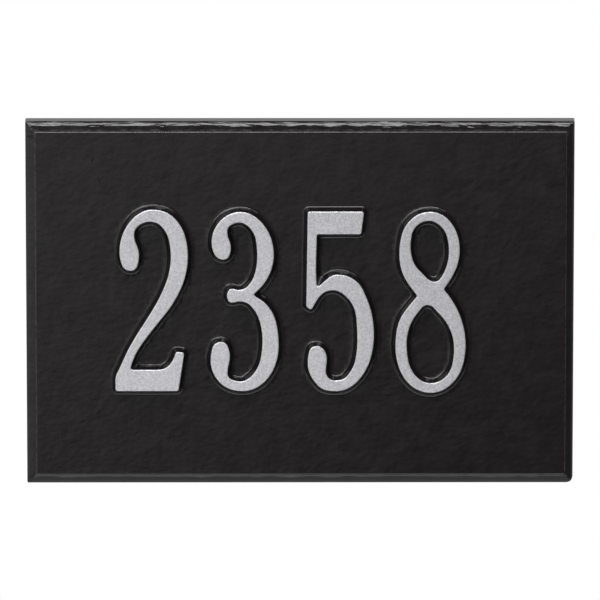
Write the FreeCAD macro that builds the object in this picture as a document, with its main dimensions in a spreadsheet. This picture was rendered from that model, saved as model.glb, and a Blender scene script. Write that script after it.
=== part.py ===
"""House number plaque, sand cast in one piece.

Frame: X to the right, Z up, the face towards -Y. The origin is the middle of the back plane, which
lies against the wall. Millimetres and degrees.
"""
import FreeCAD, Part
import math
import os
import Sketcher
from FreeCAD import Vector

# Driving dimensions: alias and value
SIZES = (
    ("plate_width", 228.6),
    ("plate_height", 153.0),
    ("edge_depth", 7.5),
    ("edge_draft", 2.0),
    ("corner_round", 0.7),
    ("worn_corner_round", 3.0),
    ("edge_round", 0.7),
    ("edge_round_run", 0.11),
    ("edge_round_rise", 0.26),
    ("left_bevel_width", 4.1),
    ("right_bevel_width", 3.5),
    ("top_bevel_width", 4.4),
    ("bottom_bevel_width", 4.0),
    ("bevel_drop", 2.5),
    ("bevel_belly", 5.3),
    ("panel_raise", 0.45),
    ("panel_round", 0.7),
    ("rim_width", 6.5),
    ("skin", 4.0),
    ("recess_draft", 8.0),
    ("recess_corner_round", 5.0),
    ("recess_foot_fillet", 2.0),
    ("boss_diameter", 12.0),
    ("boss_draft", 4.0),
    ("boss_foot_fillet", 1.2),
    ("stud_inset", 19.3),
    ("tap_drill", 4.2),
    ("tap_depth", 7.0),
    ("numeral_height", 75.5),
    ("numeral_trim", 0.06),
    ("numeral_raise", 4.0),
    ("numeral_draft", 22.5),
    ("numeral_shoulder", 0.45),
    ("numeral_foot_fillet", 1.0),
    ("numeral_tip_round", 0.9),
    ("numeral_inside_round", 0.8),
    ("row_middle_x", -3.95),
    ("row_middle_z", 1.1),
    ("first_gap", 9.47),
    ("second_gap", 11.57),
    ("third_gap", 9.05),
)

# Depths measured forward from the wall plane, as formulas of the sheet
FACE_DEPTH = "(Sizes.edge_depth + Sizes.bevel_drop + Sizes.panel_raise)"
RECESS_DEPTH = "(Sizes.edge_depth + Sizes.bevel_drop + Sizes.panel_raise - Sizes.skin)"
TOP_DEPTH = "(Sizes.edge_depth + Sizes.bevel_drop + Sizes.panel_raise + Sizes.numeral_raise)"

# The figures below are drawn for this height, in millimetres from their middle and their baseline
DRAWN_HEIGHT = 76.2

# Radius that the foot fillet leaves in an inside corner
INSIDE_CORNER_REST = 0.1

# How far a cutting profile reaches past the metal
CUT_REACH = 2.0

# Limits under which an arc counts as a line, two headings as one and two places as the same
LINE_LIMIT = 1e-4
TURN_LIMIT = 1e-9
SAME = 1e-4

# Degrees from a heading to the outside of the metal, on its left, and to the opposite side
QUARTER_TURN = 90
HALF_TURN = 180

# Point numbers in a sketch, and the number of the sketch's own origin
START = 1
END = 2
CENTRE = 3
ORIGIN = -1

TIP = "tip"
INSIDE = "inside"
STRAIGHT = None

# A figure is closed outlines of curve points (x, z, heading) and corners
# (x, z, heading in, heading out, kind), run clockwise outside and anticlockwise round a counter.
# Headings are in degrees from +X, and a straight side takes its heading from its two ends.
TWO = (
    (
        (-15.2, 0.4, STRAIGHT, STRAIGHT, TIP),
        (-15.2, 5.0, 90),
        (-12.9, 11.2, 66),
        (-9.0, 19.4, 61),
        (1.6, 36.7, 60),
        (8.2, 57.4, 90),
        (4.1, 70.5, 135),
        (-0.5, 72.4, 180),
        (-7.3, 66.7, 270),
        (-5.3, 58.1, 270),
        (-8.8, 51.6, 180),
        (-13.3, 59.4, 90),
        (-7.6, 73.6, 45),
        (0.6, 77.3, 0),
        (9.6, 73.7, 315),
        (15.2, 57.7, 270),
        (4.6, 31.8, 230),
        (-3.8, 21.0, 234),
        (-9.2, 9.3, 257, STRAIGHT, INSIDE),
        (2.5, 9.3, 0),
        (7.2, 11.1, 45),
        (10.2, 17.0, 75, STRAIGHT, TIP),
        (13.6, 16.6, STRAIGHT, STRAIGHT, TIP),
        (11.1, 0.4, STRAIGHT, STRAIGHT, TIP),
    ),
)
THREE = (
    (
        (-1.7, 76.3, 0),
        (6.5, 72.5, 315),
        (12.2, 58.3, 270),
        (3.35, 41.25, 220, 325, INSIDE),
        (8.7, 37.5, 315),
        (14.25, 20.0, 270),
        (8.4, 4.4, 225),
        (-0.9, 0.35, 180),
        (-10.3, 3.9, 135),
        (-14.2, 13.2, 90),
        (-10.0, 21.15, 0),
        (-6.3, 15.2, 270),
        (-7.3, 7.9, 270),
        (-2.0, 4.3, 0),
        (2.9, 6.6, 45),
        (7.6, 21.6, 90),
        (2.4, 36.9, 135),
        (-2.2, 38.6, 180),
        (-5.4, 38.05, 180),
        (-7.3, 41.0, 90),
        (-5.2, 43.75, 0),
        (-2.6, 43.25, 0),
        (1.2, 44.7, 45),
        (5.4, 57.3, 90),
        (2.0, 70.0, 135),
        (-2.2, 72.0, 180),
        (-7.3, 68.0, 270),
        (-5.8, 61.0, 270),
        (-8.9, 56.3, 180),
        (-13.7, 63.7, 90),
        (-9.7, 72.9, 45),
    ),
)
FIVE = (
    (
        (-13.5, 76.45, STRAIGHT, STRAIGHT, TIP),
        (9.95, 76.45, STRAIGHT, STRAIGHT, TIP),
        (8.75, 67.0, STRAIGHT, STRAIGHT, TIP),
        (-9.85, 67.0, STRAIGHT, 269, INSIDE),
        (-10.2, 51.0, 270),
        (-9.95, 43.8, 272, 42, INSIDE),
        (-1.0, 49.7, 0),
        (7.4, 46.3, 315),
        (11.3, 39.2, 293),
        (14.15, 24.0, 270),
        (6.8, 4.0, 225),
        (-1.8, 0.3, 180),
        (-9.1, 2.6, 135),
        (-13.5, 12.0, 90),
        (-9.9, 19.4, 0),
        (-5.65, 14.0, 270),
        (-6.05, 8.6, 270),
        (-2.2, 4.7, 0),
        (2.6, 6.2, 45),
        (7.35, 21.7, 90),
        (2.8, 40.4, 135),
        (-3.0, 43.3, 180),
        (-7.8, 41.5, 225),
        (-12.15, 34.8, 241, STRAIGHT, TIP),
        (-14.1, 36.4, STRAIGHT, STRAIGHT, TIP),
    ),
)
EIGHT = (
    (
        (-0.3, 76.3, 0),
        (7.1, 73.2, 315),
        (12.1, 60.2, 270),
        (5.3, 43.6, 232, 311, INSIDE),
        (14.7, 19.6, 270),
        (9.0, 3.5, 225),
        (0.2, -0.4, 180),
        (-8.8, 3.3, 135),
        (-14.65, 19.4, 90),
        (-11.4, 33.2, 57),
        (-5.5, 40.76, 52, 126, INSIDE),
        (-10.9, 48.6, 117),
        (-13.1, 58.6, 90),
        (-8.4, 72.9, 45),
    ),
    (
        (-0.8, 72.7, 180),
        (-5.9, 70.6, 225),
        (-8.55, 61.5, 270),
        (-4.6, 51.2, 317),
        (1.8, 46.7, 0),
        (5.0, 49.4, 60),
        (7.7, 59.8, 90),
        (4.2, 70.4, 135),
    ),
    (
        (-1.3, 37.0, 180),
        (-5.6, 33.5, 231),
        (-10.1, 20.5, 270),
        (-5.7, 6.1, 315),
        (0.2, 3.5, 0),
        (6.3, 6.1, 45),
        (10.0, 18.4, 90),
        (3.8, 33.1, 135),
    ),
)
FIGURES = (("Two", TWO), ("Three", THREE), ("Five", FIVE), ("Eight", EIGHT))


def make_sheet(doc):
    """The spreadsheet of driving dimensions, one alias in each row."""
    sheet = doc.addObject("Spreadsheet::Sheet", "Sizes")
    for row, (alias, value) in enumerate(SIZES, start=1):
        sheet.set(f"A{row}", alias)
        sheet.set(f"B{row}", str(value))
        sheet.setAlias(f"B{row}", alias)
    doc.recompute()
    return sheet


def origin_plane(body, role):
    """One of the body's own origin planes."""
    return [item for item in body.Origin.OriginFeatures if item.Role == role][0]


def new_sketch(body, name, role, depth=None):
    """A sketch on one of the body's own origin planes, set off from it by a formula of the sheet."""
    sketch = body.newObject("Sketcher::SketchObject", name)
    sketch.AttachmentSupport = [(origin_plane(body, role), "")]
    sketch.MapMode = "FlatFace"
    if depth is not None:
        sketch.setExpression("AttachmentOffset.Base.z", depth)
    return sketch


def bind_distance(sketch, formula, kind, first, last):
    """A distance between two points as drawn, tied to a formula of the sheet."""
    span = sketch.getPoint(*last) - sketch.getPoint(*first)
    value = span.x if kind == "DistanceX" else span.y
    if value < 0:
        first, last = last, first
    index = sketch.addConstraint(Sketcher.Constraint(kind, *first, *last, abs(value)))
    sketch.setExpression(f"Constraints[{index}]", formula)


def bind_radius(sketch, formula, geometry):
    """The radius of a circle or arc as drawn, tied to a formula of the sheet."""
    radius = sketch.Geometry[geometry].Radius
    index = sketch.addConstraint(Sketcher.Constraint("Radius", geometry, radius))
    sketch.setExpression(f"Constraints[{index}]", formula)


def close_chain(sketch, count):
    """Joins geometries 0 to count end to end in a ring."""
    for index in range(count):
        following = (index + 1) % count
        sketch.addConstraint(Sketcher.Constraint("Coincident", index, END, following, START))


def draw_rectangle(sketch, width, height, width_formula, height_formula):
    """A rectangle about the sketch's origin."""
    x = width / 2
    y = height / 2
    corners = (Vector(-x, -y, 0), Vector(x, -y, 0), Vector(x, y, 0), Vector(-x, y, 0))
    for index, corner in enumerate(corners):
        sketch.addGeometry(Part.LineSegment(corner, corners[(index + 1) % len(corners)]), False)
    close_chain(sketch, len(corners))
    for index, kind in enumerate(("Horizontal", "Vertical", "Horizontal", "Vertical")):
        sketch.addConstraint(Sketcher.Constraint(kind, index))
    sketch.addConstraint(Sketcher.Constraint("Symmetric", 0, START, 1, END, ORIGIN, START))
    bind_distance(sketch, width_formula, "DistanceX", (0, START), (0, END))
    bind_distance(sketch, height_formula, "DistanceY", (1, START), (1, END))


def draw_stud_circles(sketch, sheet, radius, radius_formula):
    """A circle at each stud, the same distance in from both edges of the plate."""
    x = sheet.plate_width / 2 - sheet.stud_inset
    y = sheet.plate_height / 2 - sheet.stud_inset
    for index, centre in enumerate((Vector(-x, -y, 0), Vector(x, -y, 0), Vector(x, y, 0), Vector(-x, y, 0))):
        sketch.addGeometry(Part.Circle(centre, Vector(0, 0, 1), radius), False)
        across = "Sizes.plate_width / 2 - Sizes.stud_inset"
        upward = "Sizes.plate_height / 2 - Sizes.stud_inset"
        bind_distance(sketch, across, "DistanceX", (index, CENTRE), (ORIGIN, START))
        bind_distance(sketch, upward, "DistanceY", (index, CENTRE), (ORIGIN, START))
        bind_radius(sketch, radius_formula, index)


def add_feature(body, kind, name, sketch, reverse=False, **formulas):
    """A feature drawn by a sketch, whose sizes are formulas of the sheet."""
    feature = body.newObject("PartDesign::" + kind, name)
    feature.Profile = sketch
    feature.Reversed = reverse
    for prop, formula in formulas.items():
        feature.setExpression(prop, formula)
    body.Document.recompute()
    return feature


def add_fillet(body, name, test, radius):
    """A fillet on every edge of the body so far that passes the test."""
    base = body.Tip
    edges = [f"Edge{number}" for number, edge in enumerate(base.Shape.Edges, start=1) if test(edge)]
    feature = body.newObject("PartDesign::Fillet", name)
    feature.Base = (base, edges)
    feature.setExpression("Radius", "Sizes." + radius)
    body.Document.recompute()
    return feature


def places(edge):
    """The two ends and the middle of an edge."""
    first, last = edge.ParameterRange
    return [edge.valueAt(place) for place in (first, (first + last) / 2, last)]


def lies_at_depth(edge, depth):
    """Whether the edge lies in the plane at one depth from the wall."""
    return all(abs(place.y + depth) < SAME for place in places(edge))


def belly_arc(start, end, radius):
    """The short arc anticlockwise from start to end."""
    chord = end - start
    rise = math.sqrt(radius ** 2 - (chord.Length / 2) ** 2)
    centre = (start + end) * 0.5 + Vector(-chord.y, chord.x, 0).normalize() * rise
    first = math.atan2(start.y - centre.y, start.x - centre.x)
    last = math.atan2(end.y - centre.y, end.x - centre.x)
    return Part.ArcOfCircle(Part.Circle(centre, Vector(0, 0, 1), radius), first, last)


def make_plate(body, sheet):
    """The plain plate, drafted towards the front, with its upright corners rounded."""
    outline = new_sketch(body, "PlateOutline", "XZ_Plane")
    draw_rectangle(outline, sheet.plate_width, sheet.plate_height, "Sizes.plate_width", "Sizes.plate_height")
    add_feature(body, "Pad", "Plate", outline, Length=FACE_DEPTH, TaperAngle="-Sizes.edge_draft")

    def runs_forward(edge):
        return abs(places(edge)[0].y - places(edge)[-1].y) > SAME

    def is_worn(edge):
        return places(edge)[1].x > 0 and places(edge)[1].z < 0

    add_fillet(body, "WornCornerRound", lambda edge: runs_forward(edge) and is_worn(edge),
               "worn_corner_round")
    add_fillet(body, "CornerRounds", lambda edge: runs_forward(edge) and not is_worn(edge), "corner_round")


def make_border(body, sheet):
    """The rounded edge, convex bevel and panel round, cut along each edge with the bevel's own width."""
    groove = sheet.edge_depth + sheet.bevel_drop
    face = groove + sheet.panel_raise
    round_run = math.sqrt(sheet.panel_round ** 2 - (sheet.panel_round - sheet.panel_raise) ** 2)
    draft_run = sheet.edge_depth * math.tan(math.radians(sheet.edge_draft))
    arcs = ("edge_round", "bevel_belly", "panel_round")
    for name, role, turn_axis, size, width in (
        ("Left", "XY_Plane", None, "plate_width", "left_bevel_width"),
        ("Right", "XY_Plane", Vector(0, 1, 0), "plate_width", "right_bevel_width"),
        ("Top", "YZ_Plane", None, "plate_height", "top_bevel_width"),
        ("Bottom", "YZ_Plane", Vector(1, 0, 0), "plate_height", "bottom_bevel_width"),
    ):
        half = getattr(sheet, size) / 2
        on_side = role == "XY_Plane"
        across = "DistanceX" if on_side else "DistanceY"
        along = "DistanceY" if on_side else "DistanceX"

        def place(inward, depth):
            if on_side:
                return Vector(inward - half, -depth, 0)
            return Vector(-depth, half - inward, 0)

        foot = getattr(sheet, width)
        inner = foot + round_run
        corners = (
            place(draft_run, sheet.edge_depth),
            place(draft_run + sheet.edge_round_run, sheet.edge_depth + sheet.edge_round_rise),
            place(foot, groove),
            place(inner, face),
            place(inner, face + CUT_REACH),
            place(draft_run - CUT_REACH, face + CUT_REACH),
            place(draft_run - CUT_REACH, sheet.edge_depth),
        )
        sketch = new_sketch(body, name + "Profile", role)
        if turn_axis is not None:
            sketch.AttachmentOffset = FreeCAD.Placement(Vector(), FreeCAD.Rotation(turn_axis, HALF_TURN))
        for index, radius in enumerate(arcs):
            arc = belly_arc(corners[index], corners[index + 1], getattr(sheet, radius))
            sketch.addGeometry(arc, False)
        for index in range(len(arcs), len(corners)):
            line = Part.LineSegment(corners[index], corners[(index + 1) % len(corners)])
            sketch.addGeometry(line, False)
        close_chain(sketch, len(corners))
        level, upright = ("Horizontal", "Vertical") if on_side else ("Vertical", "Horizontal")
        for index, kind in ((3, upright), (4, level), (5, upright), (6, level)):
            sketch.addConstraint(Sketcher.Constraint(kind, index))
        sketch.addConstraint(Sketcher.Constraint(upright, 2, CENTRE, 2, END))
        half_size = f"Sizes.{size} / 2"
        edge_inset = "Sizes.edge_depth * tan(Sizes.edge_draft * 1 deg)"
        bind_distance(sketch, f"{half_size} - {edge_inset}", across, (0, START), (ORIGIN, START))
        bind_distance(sketch, "Sizes.edge_depth", along, (0, START), (ORIGIN, START))
        bind_distance(sketch, "Sizes.edge_round_run", across, (0, START), (0, END))
        bind_distance(sketch, "Sizes.edge_round_rise", along, (0, START), (0, END))
        bind_distance(sketch, f"{half_size} - Sizes.{width}", across, (1, END), (ORIGIN, START))
        bind_distance(sketch, "Sizes.edge_depth + Sizes.bevel_drop", along, (1, END), (ORIGIN, START))
        bind_distance(sketch, "Sizes.panel_raise", along, (2, START), (2, END))
        bind_distance(sketch, str(CUT_REACH), along, (3, START), (3, END))
        bind_distance(sketch, str(CUT_REACH), across, (6, START), (6, END))
        for index, radius in enumerate(arcs):
            bind_radius(sketch, "Sizes." + radius, index)

        pocket = body.newObject("PartDesign::Pocket", name + "Bevel")
        pocket.Profile = sketch
        pocket.Type = "ThroughAll"
        pocket.Midplane = True
        body.Document.recompute()


def make_back(body, sheet):
    """The hollow back inside its rim, and four bosses with blind tapping holes for the studs."""
    recess_depth = sheet.edge_depth + sheet.bevel_drop + sheet.panel_raise - sheet.skin
    recess_width = sheet.plate_width - 2 * sheet.rim_width
    recess_height = sheet.plate_height - 2 * sheet.rim_width
    outline = new_sketch(body, "RecessOutline", "XZ_Plane")
    draw_rectangle(outline, recess_width, recess_height,
                   "Sizes.plate_width - 2 * Sizes.rim_width", "Sizes.plate_height - 2 * Sizes.rim_width")
    add_feature(body, "Pocket", "Recess", outline, True,
                Length=RECESS_DEPTH, TaperAngle="-Sizes.recess_draft")

    def is_recess_corner(edge):
        depths = sorted(-place.y for place in places(edge))
        inside = all(abs(place.x) < recess_width / 2 + SAME for place in places(edge))
        return inside and abs(depths[0]) < SAME and abs(depths[-1] - recess_depth) < SAME

    def is_boss_foot(edge):
        return lies_at_depth(edge, recess_depth) and edge.isClosed()

    add_fillet(body, "RecessCornerRounds", is_recess_corner, "recess_corner_round")
    add_fillet(body, "RecessFootFillet", lambda edge: lies_at_depth(edge, recess_depth), "recess_foot_fillet")
    bosses = new_sketch(body, "BossCircles", "XZ_Plane")
    draw_stud_circles(bosses, sheet, sheet.boss_diameter / 2, "Sizes.boss_diameter / 2")
    add_feature(body, "Pad", "Bosses", bosses, Length=RECESS_DEPTH, TaperAngle="Sizes.boss_draft")
    add_fillet(body, "BossFootFillet", is_boss_foot, "boss_foot_fillet")
    holes = new_sketch(body, "TapCircles", "XZ_Plane")
    draw_stud_circles(holes, sheet, sheet.tap_drill / 2, "Sizes.tap_drill / 2")
    hole = add_feature(body, "Hole", "TapHoles", holes, True,
                       Diameter="Sizes.tap_drill", Depth="Sizes.tap_depth")
    hole.DepthType = "Dimension"
    hole.DrillPoint = "Angled"
    body.Document.recompute()


def unit(heading):
    """The unit vector of a heading."""
    return Vector(math.cos(math.radians(heading)), math.sin(math.radians(heading)), 0)


def heading_of(first, last):
    """The heading of the straight line from one node of an outline to another."""
    return math.degrees(math.atan2(last[1] - first[1], last[0] - first[0]))


def arc_along(start, tangent, end):
    """The arc that leaves start along tangent and ends at end, or their line where that is straight."""
    chord = end - start
    across = tangent.x * chord.y - tangent.y * chord.x
    if abs(across) < LINE_LIMIT * chord.Length:
        return Part.LineSegment(start, end)
    radius = chord.Length ** 2 / (2 * across)
    centre = start + Vector(-tangent.y, tangent.x, 0) * radius
    first = math.atan2(start.y - centre.y, start.x - centre.x)
    last = math.atan2(end.y - centre.y, end.x - centre.x)
    circle = Part.Circle(centre, Vector(0, 0, 1), abs(radius))
    if radius > 0:
        return Part.ArcOfCircle(circle, first, last)
    return Part.ArcOfCircle(circle, last, first)


def tangent_arcs(start, leave, end, arrive):
    """The two tangent arcs that join two points with the given directions."""
    chord = end - start
    along = chord.dot(leave + arrive)
    turn = 1 - leave.dot(arrive)
    if turn < TURN_LIMIT:
        reach = chord.dot(chord) / (2 * along)
    else:
        reach = (math.sqrt(along ** 2 + 2 * turn * chord.dot(chord)) - along) / (2 * turn)
    joint = (start + end + (leave - arrive) * reach) * 0.5
    return [arc_along(start, leave, joint), arc_along(end, arrive * -1, joint)]


def outline_geometry(outline, scale, rounds, spread):
    """The arcs and lines of one outline, spread outwards, each corner cut back for the round of its kind."""
    nodes = []
    for index, node in enumerate(outline):
        point = Vector(node[0], node[1], 0) * scale
        if len(node) == 3:
            point += unit(node[2] + QUARTER_TURN) * spread
            nodes.append((point, point, node[2], node[2], False))
            continue
        _, _, heading_in, heading_out, kind = node
        straight = heading_out is STRAIGHT
        if heading_in is STRAIGHT:
            heading_in = heading_of(outline[index - 1], node)
        if straight:
            heading_out = heading_of(node, outline[(index + 1) % len(outline)])
        turn = abs((heading_out - heading_in + HALF_TURN) % 360 - HALF_TURN)
        setback = rounds[kind] * math.tan(math.radians(turn / 2))
        first = point - unit(heading_in) * setback + unit(heading_in + QUARTER_TURN) * spread
        last = point + unit(heading_out) * setback + unit(heading_out + QUARTER_TURN) * spread
        nodes.append((first, last, heading_in, heading_out, straight))

    geometry = []
    for index, (first, last, heading_in, heading_out, straight) in enumerate(nodes):
        following = nodes[(index + 1) % len(nodes)]
        if first != last:
            geometry.append(arc_along(first, unit(heading_in), last))
        if straight:
            geometry.append(Part.LineSegment(last, following[0]))
        else:
            geometry += tangent_arcs(last, unit(heading_out), following[0], unit(following[2]))
    return geometry


def half_width(outlines):
    """Half the width that a figure was drawn with."""
    return max(abs(node[0]) for outline in outlines for node in outline)


def make_numerals(body, sheet):
    """The row of raised numerals: lofted from foot to top with draft, then rounded at both."""
    scale = sheet.numeral_height / DRAWN_HEIGHT
    draft_run = sheet.numeral_raise * math.tan(math.radians(sheet.numeral_draft))
    trim = sheet.numeral_trim
    levels = (
        ("Foot", FACE_DEPTH, draft_run - trim, sheet.numeral_foot_fillet + INSIDE_CORNER_REST),
        ("Top", TOP_DEPTH, -trim, sheet.numeral_inside_round),
    )
    face = sheet.edge_depth + sheet.bevel_drop + sheet.panel_raise
    halves = [half_width(outlines) * scale for _, outlines in FIGURES]
    gaps = (sheet.first_gap, sheet.second_gap, sheet.third_gap, 0)
    left = sheet.row_middle_x - sum(halves) - sum(gaps) / 2
    for (name, outlines), half, gap in zip(FIGURES, halves, gaps):
        middle = left + half
        left += 2 * half + gap
        sections = []
        for level, depth, spread, inside_round in levels:
            rounds = {TIP: sheet.numeral_tip_round, INSIDE: spread + inside_round}
            sketch = new_sketch(body, name + level, "XZ_Plane", depth)
            sketch.setExpression("AttachmentOffset.Base.x", str(middle))
            sketch.setExpression("AttachmentOffset.Base.y", "Sizes.row_middle_z - Sizes.numeral_height / 2")
            for outline in outlines:
                sketch.addGeometry(outline_geometry(outline, scale, rounds, spread), False)
            sections.append(sketch)
        numeral = body.newObject("PartDesign::AdditiveLoft", name)
        numeral.Profile = sections[0]
        numeral.Sections = [sections[1]]
        numeral.Ruled = True
        body.Document.recompute()

        def belongs(edge):
            return all(abs(place.x - middle) < half + draft_run + SAME for place in places(edge))

        add_fillet(body, name + "FootFillet", lambda edge: belongs(edge) and lies_at_depth(edge, face),
                   "numeral_foot_fillet")
        add_fillet(body, name + "Shoulder",
                   lambda edge: belongs(edge) and lies_at_depth(edge, face + sheet.numeral_raise),
                   "numeral_shoulder")


def main():
    doc = FreeCAD.newDocument("HouseNumberPlaque")
    sheet = make_sheet(doc)
    plaque = doc.addObject("PartDesign::Body", "Plaque")
    plaque.Label = "plaque"
    make_plate(plaque, sheet)
    make_border(plaque, sheet)
    make_back(plaque, sheet)
    make_numerals(plaque, sheet)
    for item in doc.Objects:
        if "Invalid" in item.State or "Error" in item.State:
            raise RuntimeError(f"{item.Name} failed: {item.getStatusString()}")
    shape = plaque.Shape
    if shape.isNull() or not shape.isValid() or len(shape.Solids) != 1:
        raise RuntimeError("the plaque is not one valid solid")
    os.makedirs("parts", exist_ok=True)
    shape.exportStep("parts/plaque.step")
    box = shape.optimalBoundingBox(False, False)
    print(f"plaque {box.XLength:.2f} x {box.YLength:.2f} x {box.ZLength:.2f} mm, {shape.Volume:.0f} mm3")


main()
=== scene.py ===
# %% [markdown]
# # A cast house number plaque
#
# This lesson dresses a plaque whose solid comes from the CAD model. The real thing is one sand casting: a
# plate with a bevelled border and four raised numerals, sprayed gloss black all over, then rolled with
# silver on the numerals' tops. The solid already has the right sizes, so the work here is the lumpy cast
# skin, the two paints and a quiet studio. The first cell loads the frame and notes its box.

# %% Load the frame
import math

import bpy
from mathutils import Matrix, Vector


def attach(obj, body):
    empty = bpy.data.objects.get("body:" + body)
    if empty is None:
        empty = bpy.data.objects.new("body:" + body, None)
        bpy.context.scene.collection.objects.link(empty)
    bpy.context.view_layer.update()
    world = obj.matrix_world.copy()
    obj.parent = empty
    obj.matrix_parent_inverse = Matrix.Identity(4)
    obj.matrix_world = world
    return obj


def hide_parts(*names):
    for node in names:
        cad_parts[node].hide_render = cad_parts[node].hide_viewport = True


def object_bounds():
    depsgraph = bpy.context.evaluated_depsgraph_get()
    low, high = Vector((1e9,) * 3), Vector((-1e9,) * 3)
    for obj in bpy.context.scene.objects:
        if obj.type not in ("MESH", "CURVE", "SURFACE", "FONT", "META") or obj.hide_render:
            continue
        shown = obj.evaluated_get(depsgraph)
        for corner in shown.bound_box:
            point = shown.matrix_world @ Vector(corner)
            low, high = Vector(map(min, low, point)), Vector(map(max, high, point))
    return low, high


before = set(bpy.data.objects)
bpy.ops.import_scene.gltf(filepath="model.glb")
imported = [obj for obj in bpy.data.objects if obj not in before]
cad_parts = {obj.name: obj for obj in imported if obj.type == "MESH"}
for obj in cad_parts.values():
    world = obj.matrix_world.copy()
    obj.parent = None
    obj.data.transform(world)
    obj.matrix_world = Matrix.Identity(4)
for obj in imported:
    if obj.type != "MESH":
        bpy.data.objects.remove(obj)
plaque_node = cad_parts["plaque"]
cad_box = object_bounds()
MM = 0.001
print("CAD box in mm:", [[round(value / MM, 2) for value in corner] for corner in cad_box])

# %% [markdown]
# ## The camera
#
# The photograph was taken from far away with a long lens, a touch above the plaque and almost square on:
# the top edge shows as a thin strip and the sides hardly lean. A camera is set by where it aims, how far
# off it stands and how wide its field is there. Writing the field as millimetres at the plaque makes it
# easy to check against the picture, and the lens follows from it.

# %% Set up the camera
PHOTO_PIXELS = 600
MM_PER_PIXEL = 0.4167
CAMERA_DISTANCE = 2.9
CAMERA_AZIMUTH = -0.2
CAMERA_ELEVATION = 9.0
AIM = Vector((0.02, -7.1, 0.95)) * MM
SENSOR_WIDTH = 36.0
FARTHEST_SEEN = 50.0


def direction(azimuth, elevation):
    """The unit vector from the plaque towards a place in the studio, azimuth 0 being straight ahead."""
    turn = math.radians(azimuth)
    rise = math.radians(elevation)
    return Vector((math.sin(turn) * math.cos(rise), -math.cos(turn) * math.cos(rise), math.sin(rise)))


def look_at(thing, place, target):
    """Puts a camera or lamp at a place and points it at a target."""
    thing.location = place
    thing.rotation_mode = "QUATERNION"
    thing.rotation_quaternion = (target - place).to_track_quat("-Z", "Y")


bpy.ops.object.select_all(action="DESELECT")
bpy.ops.object.camera_add()
camera = bpy.context.object
camera.name = "photo_camera"
field = PHOTO_PIXELS * MM_PER_PIXEL * MM
camera.data.sensor_width = SENSOR_WIDTH
camera.data.lens = SENSOR_WIDTH * CAMERA_DISTANCE / field
camera.data.clip_end = FARTHEST_SEEN
look_at(camera, AIM + direction(CAMERA_AZIMUTH, CAMERA_ELEVATION) * CAMERA_DISTANCE, AIM)
bpy.context.scene.camera = camera
print("lens in mm:", round(camera.data.lens))

# %% [markdown]
# ## Sums on sockets
#
# A material is a graph, and graphs are slow to read when each sum takes three lines. A small class can
# wrap a socket and answer to +, - and *, so a mask is written as the formula it is. Every other node
# comes from one method, which takes the node's type, its settings and the values or links of its sockets.

# %% A wire class for shader maths


class Wire:
    """A socket of a node tree that can stand in a sum."""

    def __init__(self, tree, socket=None):
        self.tree = tree
        self.socket = socket

    def node(self, kind, settings=None, sockets=None, output=0):
        """A new node of a kind, with its settings made first and then its sockets filled or linked."""
        made = self.tree.nodes.new(kind)
        for name, value in (settings or {}).items():
            setattr(made, name, value)
        for name, value in (sockets or {}).items():
            if isinstance(value, Wire):
                self.tree.links.new(value.socket, made.inputs[name])
            else:
                made.inputs[name].default_value = value
        return Wire(self.tree, made.outputs[output] if made.outputs else None)

    def outlet(self, name):
        """Another output of the node that this wire comes from."""
        return Wire(self.tree, self.socket.node.outputs[name])

    def sum(self, operation, first, second=0.0):
        """One step of maths on two values or wires."""
        return self.node("ShaderNodeMath", {"operation": operation}, {0: first, 1: second})

    def __add__(self, other):
        return self.sum("ADD", self, other)

    def __radd__(self, other):
        return self.sum("ADD", other, self)

    def __sub__(self, other):
        return self.sum("SUBTRACT", self, other)

    def __rsub__(self, other):
        return self.sum("SUBTRACT", other, self)

    def __mul__(self, other):
        return self.sum("MULTIPLY", self, other)

    def __rmul__(self, other):
        return self.sum("MULTIPLY", other, self)

    def at_least(self, floor_value):
        """This value, or the floor value where it falls below that."""
        return self.sum("MAXIMUM", self, floor_value)

    def rise(self, low, high):
        """0 at low, 1 at high and a smooth step between them."""
        return self.node(
            "ShaderNodeMapRange",
            {"interpolation_type": "SMOOTHSTEP"},
            {"Value": self, "From Min": low, "From Max": high},
        )

    def tint(self, first, second):
        """The first colour where this mask is 0 and the second where it is 1."""
        return self.node("ShaderNodeMix", {"data_type": "RGBA"}, {0: self, 6: first, 7: second}, output=2)


# %% [markdown]
# ## The studio
#
# Gloss black shows only what it reflects. The photograph's bright ribbon along the top bevel is a large
# softbox overhead, with weaker wings at its sides. The bottom bevel is lit by a pale floor, a line under
# each numeral by the brighter front of that floor, and the dark face looks at an unlit room. So the studio
# is a pale floor well under the plaque, the softbox and its wings above, a weaker one in front for the
# silver, and a world that is dim in front of the plaque. The plaque hangs on a wall when in use, which is
# why the floor isn't at its lower edge.

# %% Floor
FLOOR_DROP = 0.30
FLOOR_RADIUS = 0.8
FLOOR_SIDES = 96
FLOOR_NEAR = (0.54, 0.54, 0.54, 1.0)
# the floor's front is painted lighter than the rest of it, as painted light
FLOOR_FRONT_PAINTED_LIGHT = (0.90, 0.90, 0.90, 1.0)
FLOOR_GLOW = 0.6
# where the painted light on the floor's front begins ahead of the plaque, and its soft ends on the left and
# the right
FRONT_BEGINS = (0.20, 0.50)
FRONT_LEFT = (-0.36, -0.16)
FRONT_RIGHT = (0.13, 0.24)
# glow of the floor's front in reflections: painted light, not a lamp
FRONT_PAINTED_GLOW = 1.1
WHITE = (1.0, 1.0, 1.0, 1.0)

bpy.ops.object.select_all(action="DESELECT")
bpy.ops.mesh.primitive_circle_add(
    vertices=FLOOR_SIDES,
    radius=FLOOR_RADIUS,
    fill_type="NGON",
    location=(0.0, 0.0, cad_box[0].z - FLOOR_DROP),
)
floor = bpy.context.object
floor.name = "studio_floor"

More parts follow.
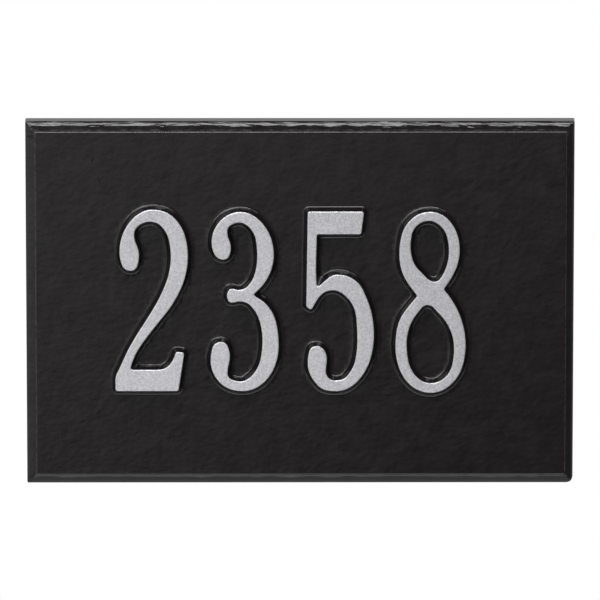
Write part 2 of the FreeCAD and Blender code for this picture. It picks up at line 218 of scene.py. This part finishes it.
floor_paint = bpy.data.materials.new("pale_floor")
floor_paint.use_nodes = True
floor_paint.node_tree.nodes.clear()
wire = Wire(floor_paint.node_tree)
floor_spot = wire.node("ShaderNodeTexCoord", output="Object")
split = wire.node("ShaderNodeSeparateXYZ", None, {"Vector": floor_spot})
forward = split.outlet("Y") * -1.0
sideways = split.outlet("X")
# mask of the floor's front, which carries the painted light
painted_light_in_front = forward.rise(*FRONT_BEGINS) * sideways.rise(*FRONT_LEFT) * (1.0 - sideways.rise(*FRONT_RIGHT))
matt = wire.node("ShaderNodeBsdfDiffuse", None, {"Color": painted_light_in_front.tint(FLOOR_NEAR, FLOOR_FRONT_PAINTED_LIGHT)})
glow = wire.node("ShaderNodeEmission", None, {"Color": WHITE, "Strength": FLOOR_GLOW})
lifted = wire.node("ShaderNodeAddShader", None, {0: matt, 1: glow})
# the camera sees the whole floor glow, and all other rays only its brighter front, whose glow is painted
# light from no lamp
seen = wire.node("ShaderNodeLightPath", output="Is Camera Ray") + painted_light_in_front * FRONT_PAINTED_GLOW
mixed = wire.node("ShaderNodeMixShader", None, {0: seen, 1: matt, 2: lifted})
wire.node("ShaderNodeOutputMaterial", None, {"Surface": mixed})
floor.data.materials.append(floor_paint)
print("floor at z =", round(floor.location.z, 3))

# %% Lamps
# name, azimuth and elevation in degrees, distance, width and height in metres, radiance
LAMPS = (
    ("overhead_softbox", -12.0, 67.5, 1.9, 1.9, 0.6, 6.0),
    ("overhead_wings", -12.0, 73.5, 2.1, 3.6, 1.2, 1.9),
    ("front_fill", -35.0, 32.0, 3.0, 1.6, 1.6, 3.4),
)
for name, azimuth, elevation, distance, width, height, radiance in LAMPS:
    bpy.ops.object.select_all(action="DESELECT")
    bpy.ops.object.light_add(type="AREA")
    lamp = bpy.context.object
    lamp.name = name
    lamp.data.shape = "RECTANGLE"
    lamp.data.size = width
    lamp.data.size_y = height
    lamp.data.energy = radiance * math.pi * width * height
    look_at(lamp, direction(azimuth, elevation) * distance, Vector((0.0, 0.0, 0.0)))
    print(name, "power", round(lamp.data.energy, 1))

# %% [markdown]
# ## The world
#
# The world is the room: pure white for the camera, so that the background is clean, and plain soft light
# for matt surfaces. Reflections see something else, which is half bright low behind the plaque and nearly
# dark high up there. In front they see an unlit room. It is brightest level with the plaque and darker to
# the right, where the photograph's gloss is darkest.

# %% World
ROOM_LIGHT = 0.42
ROOM_FRONT = 0.31
ROOM_RIGHT_LOSS = 0.58
ROOM_LOW_GAIN = 0.50
ROOM_HIGH_LOSS = 0.30
ROOM_LEAST = 0.14
ROOM_BEHIND = 0.50
ROOM_BEHIND_LOSS = 0.45
# the spans of a unit heading's parts over which each change fades in
RIGHT_SPAN = (-0.15, 0.15)
LOW_SPAN = (-0.30, -0.06)
HIGH_SPAN = (-0.05, 0.3)
BEHIND_HIGH_SPAN = (0.14, 0.5)
BEHIND_SPAN = (-0.1, 0.25)

world = bpy.data.worlds.new("studio_world")
bpy.context.scene.world = world
world.use_nodes = True
world.node_tree.nodes.clear()
wire = Wire(world.node_tree)
heading = wire.node("ShaderNodeTexCoord", output="Generated")
split = wire.node("ShaderNodeSeparateXYZ", None, {"Vector": heading})
rightward = split.outlet("X")
backward = split.outlet("Y")
upward = split.outlet("Z")
room = ROOM_FRONT - rightward.rise(*RIGHT_SPAN) * ROOM_RIGHT_LOSS
room = room + upward.rise(*LOW_SPAN) * ROOM_LOW_GAIN
room = room - upward.rise(*HIGH_SPAN) * ROOM_HIGH_LOSS
room = room.at_least(ROOM_LEAST)
behind = ROOM_BEHIND - upward.rise(*BEHIND_HIGH_SPAN) * ROOM_BEHIND_LOSS
mirrored = room + (behind - room) * backward.rise(*BEHIND_SPAN)
camera_ray = wire.node("ShaderNodeLightPath", output="Is Camera Ray")
glossy_ray = wire.node("ShaderNodeLightPath", output="Is Glossy Ray")
strength = ROOM_LIGHT + (mirrored - ROOM_LIGHT) * glossy_ray
strength = strength + (1.0 - strength) * camera_ray
background = wire.node("ShaderNodeBackground", None, {"Color": WHITE, "Strength": strength})
wire.node("ShaderNodeOutputWorld", None, {"Surface": background})
bpy.context.scene.view_settings.view_transform = "Standard"
print("world nodes:", len(world.node_tree.nodes))

# %% [markdown]
# ## A denser copy of the casting
#
# The CAD mesh has fine triangles in the fillets but huge ones on the flats, and a huge triangle can't
# carry a lump. The visible casting is therefore a copy: its loose triangles are merged, and its broad
# faces in front are cut along a grid. A primitive grid fitted into the numerals' outlines would need the
# outlines again, and a voxel remesh would melt the shoulders, but bisecting keeps every edge where it is.

# %% Copy and merge
MERGE_DISTANCE = 0.001 * MM

bpy.ops.object.select_all(action="DESELECT")
casting = bpy.data.objects.new("plaque_casting", plaque_node.data.copy())
bpy.context.collection.objects.link(casting)
casting.select_set(True)
bpy.context.view_layer.objects.active = casting
bpy.ops.mesh.customdata_custom_splitnormals_clear()
bpy.ops.object.mode_set(mode="EDIT")
bpy.ops.mesh.select_all(action="SELECT")
bpy.ops.mesh.remove_doubles(threshold=MERGE_DISTANCE)
bpy.ops.object.mode_set(mode="OBJECT")
print("merged triangles:", len(casting.data.polygons))

# %% Cut the broad faces along a grid
GRID_PITCH = 1.8 * MM
FRONT_DEPTH = 7.4 * MM


def group_vertices(name, weights):
    """Makes a vertex group from a list of weights, one for each vertex."""
    group = casting.vertex_groups.new(name=name)
    for index, weight in enumerate(weights):
        if weight > 0.0:
            group.add([index], weight, "REPLACE")


mesh = casting.data
is_broad = [0.0] * len(mesh.vertices)
for face in mesh.polygons:
    corners = [mesh.vertices[index].co for index in face.vertices]
    longest = max((corners[place] - corners[place - 1]).length for place in range(len(corners)))
    if longest > GRID_PITCH and face.normal.y < 0.0 and all(-corner.y > FRONT_DEPTH for corner in corners):
        for index in face.vertices:
            is_broad[index] = 1.0
group_vertices("broad", is_broad)
bpy.ops.object.mode_set(mode="EDIT")
for axis in (0, 2):
    count = int(cad_box[1][axis] / GRID_PITCH)
    cut_normal = Vector([float(index == axis) for index in range(3)])
    for line in range(-count, count + 1):
        bpy.ops.mesh.select_all(action="DESELECT")
        bpy.ops.object.vertex_group_select()
        bpy.ops.mesh.bisect(plane_co=cut_normal * line * GRID_PITCH, plane_no=cut_normal)
bpy.ops.object.mode_set(mode="OBJECT")
triangles = sum(len(face.vertices) - 2 for face in casting.data.polygons)
print("triangles after the grid:", triangles)

# %% [markdown]
# ## The cast skin
#
# Sand leaves a skin of soft dimples, and the thick gloss coat rounds them. On the flat face they are
# shallow, along the bevel's top and bottom they are deeper, and the numerals' tops are nearly level because
# the roller pressed on them. Displace modifiers with cloud textures can push a surface in and out like
# this, and a vertex group says where and how much. Weighted normals then keep the flats calm beside the
# narrow facets of the fillets. The finest grain is left to the material.

# %% Weigh the skin
# depths forward from the wall, and reaches in from the plate's own edge
FACE_DEPTH = 10.45 * MM
TOP_DEPTH = 14.45 * MM
BORDER = 3.4 * MM
EDGE_CLEARANCE = 0.6 * MM
SIDE_SHARE = 0.4
LEVEL_WITH_TOPS = 0.05 * MM


def skin_weight(place):
    """How far the face's lumps reach: full on the face, none on the tops and at the plate's own edge."""
    depth = -place.y
    inward = min(cad_box[1].x - abs(place.x), cad_box[1].z - abs(place.z))
    if depth < FRONT_DEPTH or inward < EDGE_CLEARANCE:
        return 0.0
    up_the_wall = (depth - FACE_DEPTH) / (TOP_DEPTH - FACE_DEPTH)
    return min(1.0, max(0.0, 1.0 - up_the_wall))


def border_weight(place):
    """How far the bevel's own waves reach."""
    depth = -place.y
    inward = min(cad_box[1].x - abs(place.x), cad_box[1].z - abs(place.z))
    if depth < FRONT_DEPTH or inward > BORDER or inward < EDGE_CLEARANCE:
        return 0.0
    on_side = cad_box[1].x - abs(place.x) < cad_box[1].z - abs(place.z)
    return math.sin(math.pi * inward / BORDER) * (SIDE_SHARE if on_side else 1.0)


def top_weight(place):
    """Full on the numerals' tops and none elsewhere."""
    return 1.0 if -place.y > TOP_DEPTH - LEVEL_WITH_TOPS else 0.0


places = [vertex.co for vertex in casting.data.vertices]
for name, weigh in (("skin", skin_weight), ("border", border_weight), ("tops", top_weight)):
    weights = [weigh(place) for place in places]
    group_vertices(name, weights)
    print(name, "vertices:", sum(weight > 0.0 for weight in weights))

# %% Push the lumps
# group, size of a lump, full height from valley to crest
LUMPS = (
    ("skin", 6.0 * MM, 0.038 * MM),
    ("skin", 2.8 * MM, 0.045 * MM),
    ("border", 6.0 * MM, 0.40 * MM),
    ("border", 2.2 * MM, 0.16 * MM),
    ("tops", 4.0 * MM, 0.08 * MM),
)
LUMP_DETAIL = 1

for number, (group, size, height) in enumerate(LUMPS, start=1):
    clouds = bpy.data.textures.new(f"{group}_lumps_{number}", type="CLOUDS")
    clouds.noise_scale = size
    clouds.noise_depth = LUMP_DETAIL
    push = casting.modifiers.new(f"{group}_push_{number}", "DISPLACE")
    push.texture = clouds
    push.texture_coords = "LOCAL"
    push.vertex_group = group
    push.strength = height
    push.mid_level = 0.5
    bpy.ops.object.modifier_apply(modifier=push.name)
print("most forward vertex in mm:", round(-min(vertex.co.y for vertex in casting.data.vertices) / MM, 3))

# %% Smooth the shading
SMOOTH_ANGLE = math.radians(50)

bpy.ops.object.shade_smooth_by_angle(angle=SMOOTH_ANGLE)
even = casting.modifiers.new("broad_faces_first", "WEIGHTED_NORMAL")
even.mode = "FACE_AREA"
even.keep_sharp = True
bpy.ops.object.modifier_apply(modifier=even.name)
print("casting vertices:", len(casting.data.vertices))

# %% [markdown]
# ## Two paints in one material
#
# The plaque is one casting, so it is one piece with one material, and the place decides the paint. A
# roller only touches what stands highest, so silver lies where the depth from the wall passes the
# numerals' shoulders, with an edge that wanders a little, and it is painted darker towards the right as
# painted shade.
# Everything lower is gloss black, with a lighter line along the edge of the panel, and on the top border
# along a ridge just above it, as a painted highlight.
# Bumps add the dimples too fine for the mesh, the paint drawn out along the top bevel and the few pits that
# the photograph shows.

# %% Start the paint
paint = bpy.data.materials.new("black_and_silver_paint")
paint.use_nodes = True
paint.node_tree.nodes.clear()
wire = Wire(paint.node_tree)
spot = wire.node("ShaderNodeTexCoord", output="Object")
split = wire.node("ShaderNodeSeparateXYZ", None, {"Vector": spot})
# from here on every length is in millimetres, and depth is measured from the wall
depth = split.outlet("Y") * (-1.0 / MM)
across = split.outlet("X") * (1.0 / MM)
upward = split.outlet("Z") * (1.0 / MM)


def noise(size, detail=2.0, stretch=None, turn=0.0):
    """Soft noise around 0.5 with lumps of a size in millimetres."""
    vector = spot
    if stretch is not None:
        vector = wire.node(
            "ShaderNodeMapping",
            {"vector_type": "TEXTURE"},
            {"Vector": spot, "Rotation": (0.0, math.radians(turn), 0.0), "Scale": stretch},
        )
    scale = 1.0 / (size * MM)
    return wire.node("ShaderNodeTexNoise", None, {"Vector": vector, "Scale": scale, "Detail": detail})


def patches(size, span, detail=2.0):
    """Patches of a size, 0 where the noise is under a span of values and 1 where it is over."""
    return noise(size, detail).rise(*span)


def between(depths):
    """1 in a band of depths, fading in over its first two numbers and out over its last two."""
    low, full, fade, high = depths
    return depth.rise(low, full) * (1.0 - depth.rise(fade, high))


print("nodes with the places:", len(paint.node_tree.nodes))

# %% Lay the two colours
SILVER_FROM = 14.02
SILVER_FULL = 14.14
SILVER_WANDER = 0.16
WANDER_SIZE = 1.3
PANEL_EDGE = (10.03, 10.10, 10.34, 10.42)
TOP_RIDGE = (9.82, 9.88, 9.94, 10.0)
RIDGE_FROM = (70.0, 71.0)
BLACK = (0.0062, 0.0046, 0.0054, 1.0)
BLACK_THIN = (0.0096, 0.0079, 0.0087, 1.0)
# colour of the painted highlight lines, lighter than the black
PAINTED_HIGHLIGHT_LINE = (0.040, 0.039, 0.036, 1.0)
SILVER = (0.707, 0.705, 0.736, 1.0)
SILVER_DULL = (0.415, 0.414, 0.432, 1.0)
SPECKLE = 0.62
# the silver is painted darker towards the right: painted shade where the light falls off
SILVER_SHADE_RIGHT = 0.31
SILVER_SHADE_ACROSS = (-45.0, 100.0)
# size of a patch, the span of the noise that fades it in, and the noise's detail
BLACK_PATCHES = (9.0, (0.35, 0.75))
EDGE_HIGHLIGHT_PATCHES = (2.4, (0.34, 0.56))
RIDGE_HIGHLIGHT_PATCHES = (3.0, (0.38, 0.72))
SPECKLE_PATCHES = (0.7, (0.3, 0.7), 3.0)

wander = (noise(WANDER_SIZE) - 0.5) * SILVER_WANDER
silver = (depth + wander).rise(SILVER_FROM, SILVER_FULL)

black_colour = patches(*BLACK_PATCHES).tint(BLACK, BLACK_THIN)
# a painted highlight along the panel's edge, broken into patches
edge_painted_highlight = between(PANEL_EDGE) * patches(*EDGE_HIGHLIGHT_PATCHES)
# a painted highlight along the ridge, only on the top border where light falls from above
ridge_painted_highlight = between(TOP_RIDGE) * upward.rise(*RIDGE_FROM) * patches(*RIDGE_HIGHLIGHT_PATCHES)
black_colour = (edge_painted_highlight + ridge_painted_highlight).tint(black_colour, PAINTED_HIGHLIGHT_LINE)
# the speckles are the silver's own uneven tone; the darkening towards the right is painted shade
speckle_and_painted_shade = patches(*SPECKLE_PATCHES) * SPECKLE + across.rise(*SILVER_SHADE_ACROSS) * SILVER_SHADE_RIGHT
silver_colour = speckle_and_painted_shade.tint(SILVER, SILVER_DULL)
colour = silver.tint(black_colour, silver_colour)
print("nodes with the colours:", len(paint.node_tree.nodes))

# %% Work the relief
# heights are what the noise adds where it is 1
DIMPLE_NOISE = {"size": 2.0, "detail": 0.8, "stretch": (1.4, 1.0, 1.0)}
DIMPLE_HEIGHT = 0.038
DIMPLE_LOSS = 0.012
CALM_ACROSS = (-90.0, 60.0)
STREAK_NOISE = {"size": 2.4, "detail": 1.0, "stretch": (1.0, 1.0, 1.5), "turn": 35.0}
STREAK_HEIGHT = 0.008
BEVEL = (7.5, 7.7, 9.9, 10.1)
BEVEL_FROM = (69.0, 71.0)
DRAWN_NOISE = {"size": 1.0, "detail": 1.5, "stretch": (7.0, 1.0, 1.0)}
DRAWN_HEIGHT = 0.17
GRAIN_SIZE = 0.6
GRAIN_HEIGHT = 0.13
PIT_DEPTH = 0.09
# place across and up, and reach, in mm
PITS = (
    ((-85.8, 60.1), 0.8),
    ((-83.6, 52.9), 0.6),
    ((-83.0, 51.6), 0.7),
    ((-61.3, 15.0), 0.6),
    ((-52.5, 68.6), 0.7),
)

flat_spot = wire.node("ShaderNodeCombineXYZ", None, {"X": across, "Z": upward})


def dent(place, reach):
    """1 at a place on the front and 0 at its reach."""
    middle = (place[0], 0.0, place[1])
    away = wire.node("ShaderNodeVectorMath", {"operation": "DISTANCE"}, {0: flat_spot, 1: middle}, output=1)
    return 1.0 - away.rise(0.0, reach)


calmer = DIMPLE_HEIGHT - across.rise(*CALM_ACROSS) * DIMPLE_LOSS
dimples = noise(**DIMPLE_NOISE) * calmer
streaks = noise(**STREAK_NOISE) * STREAK_HEIGHT
on_top = between(BEVEL) * upward.rise(*BEVEL_FROM)
drawn_out = noise(**DRAWN_NOISE) * on_top * DRAWN_HEIGHT
pits = sum((dent(place, reach) for place, reach in PITS), start=0.0)
skin = dimples + streaks + drawn_out - pits * PIT_DEPTH
grain = noise(GRAIN_SIZE) * GRAIN_HEIGHT
relief = skin + (grain - skin) * silver
print("nodes with the relief:", len(paint.node_tree.nodes))

# %% Join them in a shader
# least roughness, what the noise adds to it, and the noise's size
BLACK_GLOSS = (0.05, 0.05, 4.0)
SILVER_MATT = (0.40, 0.08, 0.5)
METAL_FLAKE = 0.55
PAINT_IOR = 1.5


def uneven(least, added, size):
    """A roughness that wanders up from its least value."""
    return least + noise(size) * added


black_gloss = uneven(*BLACK_GLOSS)
silver_matt = uneven(*SILVER_MATT)
roughness = black_gloss + (silver_matt - black_gloss) * silver
normal = wire.node("ShaderNodeBump", None, {"Height": relief, "Distance": MM, "Strength": 1.0})
shader = wire.node(
    "ShaderNodeBsdfPrincipled",
    None,
    {
        "Base Color": colour,
        "Metallic": silver * METAL_FLAKE,
        "Roughness": roughness,
        "IOR": PAINT_IOR,
        "Normal": normal,
    },
)
wire.node("ShaderNodeOutputMaterial", None, {"Surface": shader})
casting.data.materials.clear()
casting.data.materials.append(paint)
for face in casting.data.polygons:
    face.material_index = 0
print("nodes in all:", len(paint.node_tree.nodes))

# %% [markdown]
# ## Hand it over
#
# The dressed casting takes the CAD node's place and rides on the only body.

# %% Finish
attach(casting, "root")
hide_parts("plaque")
